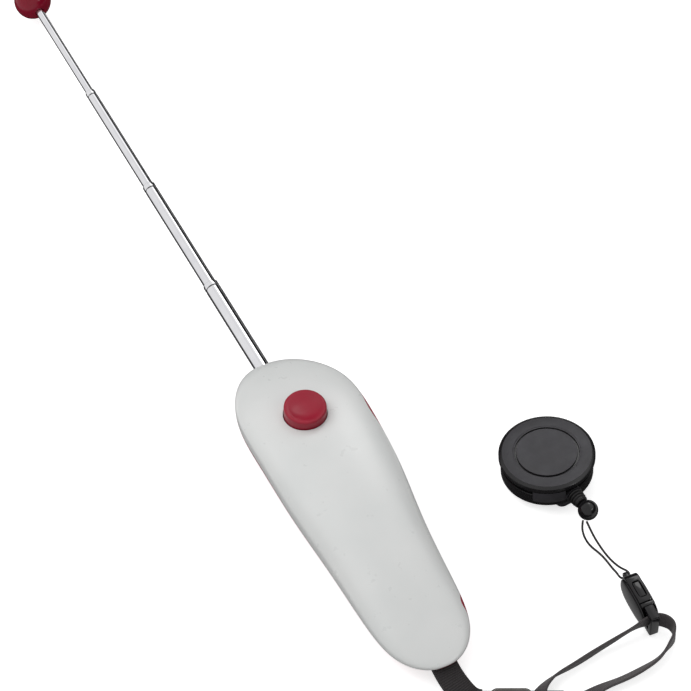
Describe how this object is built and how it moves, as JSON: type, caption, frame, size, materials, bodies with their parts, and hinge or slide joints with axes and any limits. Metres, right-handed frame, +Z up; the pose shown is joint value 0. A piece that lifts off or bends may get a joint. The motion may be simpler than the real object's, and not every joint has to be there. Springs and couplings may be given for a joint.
{
  "type": "training target stick",
  "caption": "Telescopic target stick with a ball tip, a moulded handle with a clicker button, a wrist strap and a belt reel on a side-release clasp.",
  "frame": {"origin": "middle of the flat on the handle's belly, where it rests on a table", "axes": "+Y along the rod from the handle to the ball, +Z up through the clicker button, +X to the right"},
  "size_m": [0.1006, 0.3512, 0.0262],
  "materials": {
    "white_plastic": "moulded ABS, polished tool, cool light grey white",
    "red_plastic": "moulded ABS, dark crimson, semi gloss",
    "chrome_plate": "bright chrome plate on drawn tube and wire",
    "brass": "turned brass",
    "spring_steel": "plain rolled or drawn steel",
    "natural_plastic": "uncoloured acetal, matte",
    "black_plastic": "moulded ABS, fine satin texture",
    "black_gloss": "moulded acetal, glossy",
    "black_rubber": "soft moulded rubber",
    "black_webbing": "woven polyester webbing, stitched",
    "grey_strap": "narrow woven polyester tape",
    "black_cord": "thin braided nylon cord"
  },
  "bodies": {
    "handle": {"top_shell": "white_plastic", "bottom_shell": "red_plastic", "guide_tube": "chrome_plate", "guide_end_cap": "black_rubber", "clicker_bridge": "natural_plastic", "clicker_leaf": "spring_steel", "handle_screw_1": "spring_steel", "handle_screw_2": "spring_steel", "handle_screw_3": "spring_steel", "handle_screw_4": "spring_steel", "strap_pin": "spring_steel", "tail_webbing": "black_webbing", "webbing_fold": "black_webbing", "wire_ring": "chrome_plate", "strap_fold": "black_webbing", "narrow_strap": "grey_strap", "clasp_tongue": "black_gloss"},
    "tube_1": {"rod_tube_1": "chrome_plate", "rod_stop_1": "brass"},
    "tube_2": {"rod_tube_2": "chrome_plate", "rod_stop_2": "brass"},
    "tube_3": {"rod_tube_3": "chrome_plate", "rod_stop_3": "brass"},
    "tip": {"rod_tube_4": "chrome_plate", "rod_stop_4": "brass", "target_ball": "red_plastic"},
    "button": {"clicker_button": "red_plastic"},
    "reel": {"clasp_socket": "black_gloss", "cord_loop": "black_cord", "stop_bead": "black_gloss", "reel_boot": "black_rubber", "reel_case": "black_plastic", "reel_cover": "black_plastic", "reel_axle": "spring_steel", "reel_spring": "spring_steel", "clip_pin": "spring_steel", "clip_spring": "spring_steel"},
    "spool": {"reel_spool": "black_plastic", "wound_cord": "black_cord"},
    "clip": {"belt_clip": "black_plastic"}
  },
  "joints": [
    {"name": "tube_1_slide", "type": "slide", "parent": "handle", "child": "tube_1", "axis": [0, 1, 0], "range_m": [-0.0368, 0.0585]},
    {"name": "tube_2_slide", "type": "slide", "parent": "tube_1", "child": "tube_2", "axis": [0, 1, 0], "range_m": [-0.0467, 0.0516]},
    {"name": "tube_3_slide", "type": "slide", "parent": "tube_2", "child": "tube_3", "axis": [0, 1, 0], "range_m": [-0.0462, 0.0486]},
    {"name": "tip_slide", "type": "slide", "parent": "tube_3", "child": "tip", "axis": [0, 1, 0], "range_m": [-0.0419, 0.0472]},
    {"name": "button_press", "type": "slide", "parent": "handle", "child": "button", "axis": [0, 0, -1], "range_m": [0, 0.0016], "stiffness_N_per_m": 2000, "springref_m": -0.0004, "deforming": ["clicker_leaf"]},
    {"name": "clasp_release", "type": "slide", "parent": "handle", "child": "reel", "axis": [0.061, 0.9981, 0], "range_m": [0, 0.012]},
    {"name": "spool_turn", "type": "hinge", "parent": "reel", "child": "spool", "pos_m": [0.0656, -0.0094, 0.00325], "axis": [-0.0068, 0.0782, 0.9969], "continuous": true},
    {"name": "clip_open", "type": "hinge", "parent": "reel", "child": "clip", "pos_m": [0.06509, -0.00355, 0.00138], "axis": [0.9962, 0.0872, 0], "range_deg": [0, 12], "stiffness_Nm_per_rad": 0.1, "springref_deg": -5.73}
  ]
}
